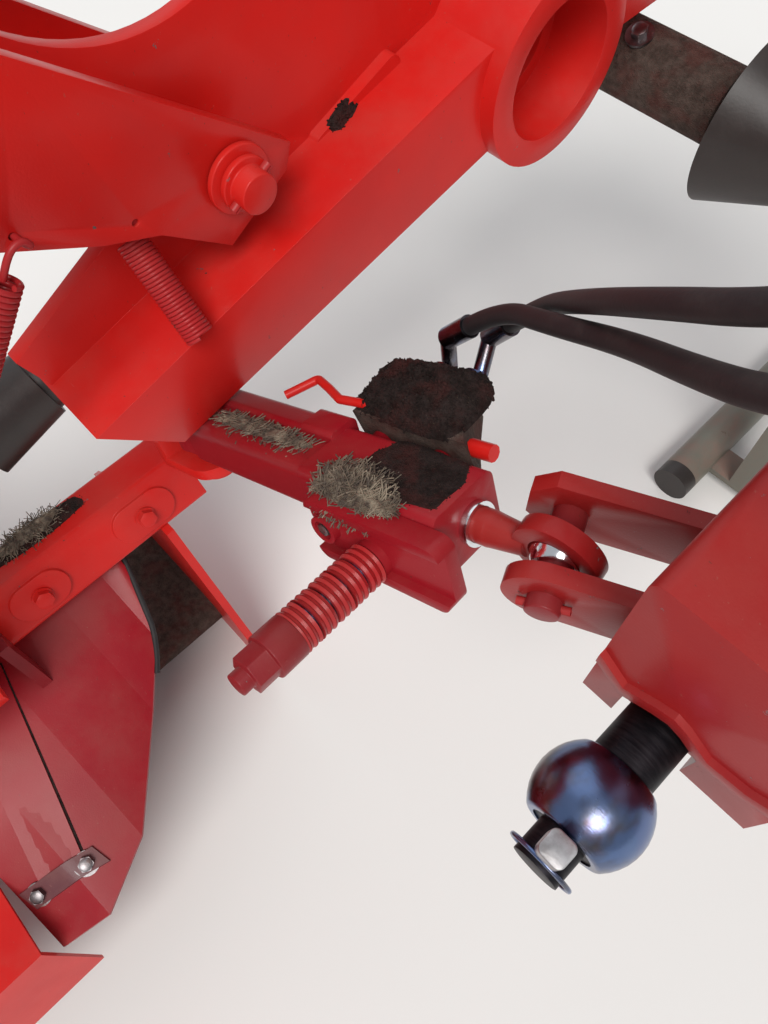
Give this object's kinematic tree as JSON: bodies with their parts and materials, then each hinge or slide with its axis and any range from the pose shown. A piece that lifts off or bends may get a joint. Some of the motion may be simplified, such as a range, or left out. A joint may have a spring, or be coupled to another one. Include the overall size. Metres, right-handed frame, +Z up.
{
  "type": "mounted disc mower",
  "caption": "Rear three-point mounted disc mower with headstock, break-away strut, folding cutterbar, guards, drive shaft and hydraulic hoses, parked on its stand.",
  "frame": {"origin": "on the ground under the middle of the machine's bounding box", "axes": "+X in the direction of travel, +Y to the left, +Z up"},
  "size_m": [2.132, 3.7074, 1.39],
  "materials": {
    "black_plastic": "black guard plastic",
    "black_rubber": "black hose rubber, dusty",
    "bright_steel": "bright worn steel",
    "chrome_rod": "chromed rod",
    "dark_red_paint": "older darker red paint",
    "dark_steel": "dark heat-tinted steel",
    "dirty_cast": "cast iron caked with dried dirt",
    "disc_paint": "worn black disc paint",
    "grey_paint": "olive grey worn paint",
    "red_paint": "gloss red machine paint, dusty",
    "worn_skid": "skid steel worn by the ground"
  },
  "bodies": {
    "headstock": {"headstock_beam": "red_paint", "mast": "red_paint", "top_link_pin": "bright_steel", "hitch_pins": "dark_steel", "hitch_balls": "dark_steel", "linchpins": "bright_steel", "clevis_pin": "dark_red_paint", "strut_eye_ball": "chrome_rod", "arm_pivot_pin": "bright_steel", "hose_a": "black_rubber", "hose_b": "black_rubber", "hose_couplers": "bright_steel"},
    "stand": {"stand_leg": "grey_paint", "stand_caps": "black_plastic"},
    "arm": {"arm_beam": "red_paint", "lift_pin": "dark_red_paint", "gearbox": "dirty_cast", "shaft_guard": "black_plastic", "cylinder_pin": "bright_steel"},
    "drive_shaft": {"drive_shaft": "bright_steel"},
    "strut": {"strut_housing": "red_paint", "strut_pin": "bright_steel", "clamp_lever": "red_paint", "spring_stack": "dark_red_paint", "stack_rod": "dark_red_paint", "valve_block": "dirty_cast", "release_lever": "red_paint", "hose_fittings": "dark_steel"},
    "strut_rod": {"strut_rod": "red_paint"},
    "lift_cylinder": {"lift_cylinder": "red_paint"},
    "lift_rod": {"lift_rod": "chrome_rod"},
    "cutter_unit": {"lift_frame": "red_paint", "tension_springs": "dark_red_paint", "carrier_beam": "red_paint", "gear_bed": "dirty_cast", "skids": "worn_skid", "bevel_gearbox": "dirty_cast", "end_shoes": "red_paint", "inner_guard_panel": "red_paint", "canopy": "red_paint", "guard_brackets": "dark_red_paint"},
    "link_inner": {"cross_shaft_inner": "black_plastic"},
    "link_outer": {"cross_shaft_outer": "black_plastic"},
    "front_guard": {"front_guard": "red_paint"},
    "outer_guard": {"outer_guard": "red_paint"},
    "swath_board": {"swath_board": "red_paint"},
    "disc_1": {"disc_1": "disc_paint"},
    "disc_2": {"disc_2": "disc_paint"},
    "disc_3": {"disc_3": "disc_paint"},
    "disc_4": {"disc_4": "disc_paint"},
    "disc_5": {"disc_5": "disc_paint"},
    "disc_6": {"disc_6": "disc_paint"}
  },
  "joints": [
    {"name": "stand_slide", "type": "slide", "parent": "headstock", "child": "stand", "axis": [0, 0, 1], "range_m": [0, 0.26]},
    {"name": "arm_breakaway", "type": "hinge", "parent": "headstock", "child": "arm", "pos_m": [0.426, 1.68625, 0.796], "axis": [0, 0, 1], "range_deg": [-14, 0]},
    {"name": "strut_swing", "type": "hinge", "parent": "headstock", "child": "strut_rod", "pos_m": [0.576, 0.89125, 0.75], "axis": [0.2217, 0.6366, -0.7387], "range_deg": [0, 13.39]},
    {"name": "strut_extend", "type": "slide", "parent": "strut_rod", "child": "strut", "axis": [-0.8997, -0.1586, -0.4067], "range_m": [0, 0.18536]},
    {"name": "drive_shaft_spin", "type": "hinge", "parent": "arm", "child": "drive_shaft", "pos_m": [0.676, 1.42425, 0.64], "axis": [1, 0, 0], "continuous": true},
    {"name": "cutter_lift", "type": "hinge", "parent": "arm", "child": "cutter_unit", "pos_m": [0.251, 0.92025, 0.814], "axis": [-1, 0, 0], "range_deg": [0, 90]},
    {"name": "cylinder_swing", "type": "hinge", "parent": "arm", "child": "lift_cylinder", "pos_m": [0.166, 1.63625, 0.905], "axis": [-1, 0, 0], "range_deg": [0, 3.57]},
    {"name": "cylinder_stroke", "type": "slide", "parent": "lift_cylinder", "child": "lift_rod", "axis": [0, -0.996, 0.0895], "range_m": [-0.3428, 0]},
    {"name": "link_swing", "type": "hinge", "parent": "arm", "child": "link_inner", "pos_m": [0.066, 1.30625, 0.64], "axis": [-1, 0, 0], "range_deg": [0, 43.23]},
    {"name": "link_extend", "type": "slide", "parent": "link_inner", "child": "link_outer", "axis": [0, -0.9902, -0.14], "range_m": [0, 0.12221]},
    {"name": "disc_1_spin", "type": "hinge", "parent": "cutter_unit", "child": "disc_1", "pos_m": [0.066, 0.50625, 0.112], "axis": [0, 0, 1], "continuous": true},
    {"name": "disc_2_spin", "type": "hinge", "parent": "cutter_unit", "child": "disc_2", "pos_m": [0.066, 0.10625, 0.112], "axis": [0, 0, 1], "continuous": true},
    {"name": "disc_3_spin", "type": "hinge", "parent": "cutter_unit", "child": "disc_3", "pos_m": [0.066, -0.29375, 0.112], "axis": [0, 0, 1], "continuous": true},
    {"name": "disc_4_spin", "type": "hinge", "parent": "cutter_unit", "child": "disc_4", "pos_m": [0.066, -0.69375, 0.112], "axis": [0, 0, 1], "continuous": true},
    {"name": "disc_5_spin", "type": "hinge", "parent": "cutter_unit", "child": "disc_5", "pos_m": [0.066, -1.09375, 0.112], "axis": [0, 0, 1], "continuous": true},
    {"name": "disc_6_spin", "type": "hinge", "parent": "cutter_unit", "child": "disc_6", "pos_m": [0.066, -1.49375, 0.112], "axis": [0, 0, 1], "continuous": true},
    {"name": "front_guard_fold", "type": "hinge", "parent": "cutter_unit", "child": "front_guard", "pos_m": [0.206, -0.62625, 0.317], "axis": [0, -1, 0], "range_deg": [0, 75]},
    {"name": "outer_guard_fold", "type": "hinge", "parent": "cutter_unit", "child": "outer_guard", "pos_m": [0.12, -1.65375, 0.48], "axis": [-1, 0, 0], "range_deg": [0, 80]},
    {"name": "swath_board_swing", "type": "hinge", "parent": "cutter_unit", "child": "swath_board", "pos_m": [-0.546, -1.55375, 0.39], "axis": [0, 0, 1], "range_deg": [-20, 20]}
  ],
  "couplings": [
    {"joint": "strut_swing", "follows": "arm_breakaway", "ratio": -0.95302},
    {"joint": "strut_extend", "follows": "arm_breakaway", "m_per_rad": -0.75654},
    {"joint": "cylinder_swing", "follows": "cutter_lift", "ratio": 0.039143},
    {"joint": "cylinder_stroke", "follows": "cutter_lift", "m_per_rad": -0.21792},
    {"joint": "link_swing", "follows": "cutter_lift", "ratio": 0.47918},
    {"joint": "link_extend", "follows": "cutter_lift", "m_per_rad": 0.077482},
    {"joint": "disc_2_spin", "follows": "disc_1_spin", "ratio": -1},
    {"joint": "disc_3_spin", "follows": "disc_1_spin", "ratio": 1},
    {"joint": "disc_4_spin", "follows": "disc_1_spin", "ratio": -1},
    {"joint": "disc_5_spin", "follows": "disc_1_spin", "ratio": 1},
    {"joint": "disc_6_spin", "follows": "disc_1_spin", "ratio": -1},
    {"joint": "drive_shaft_spin", "follows": "disc_1_spin", "ratio": 0.3333}
  ]
}
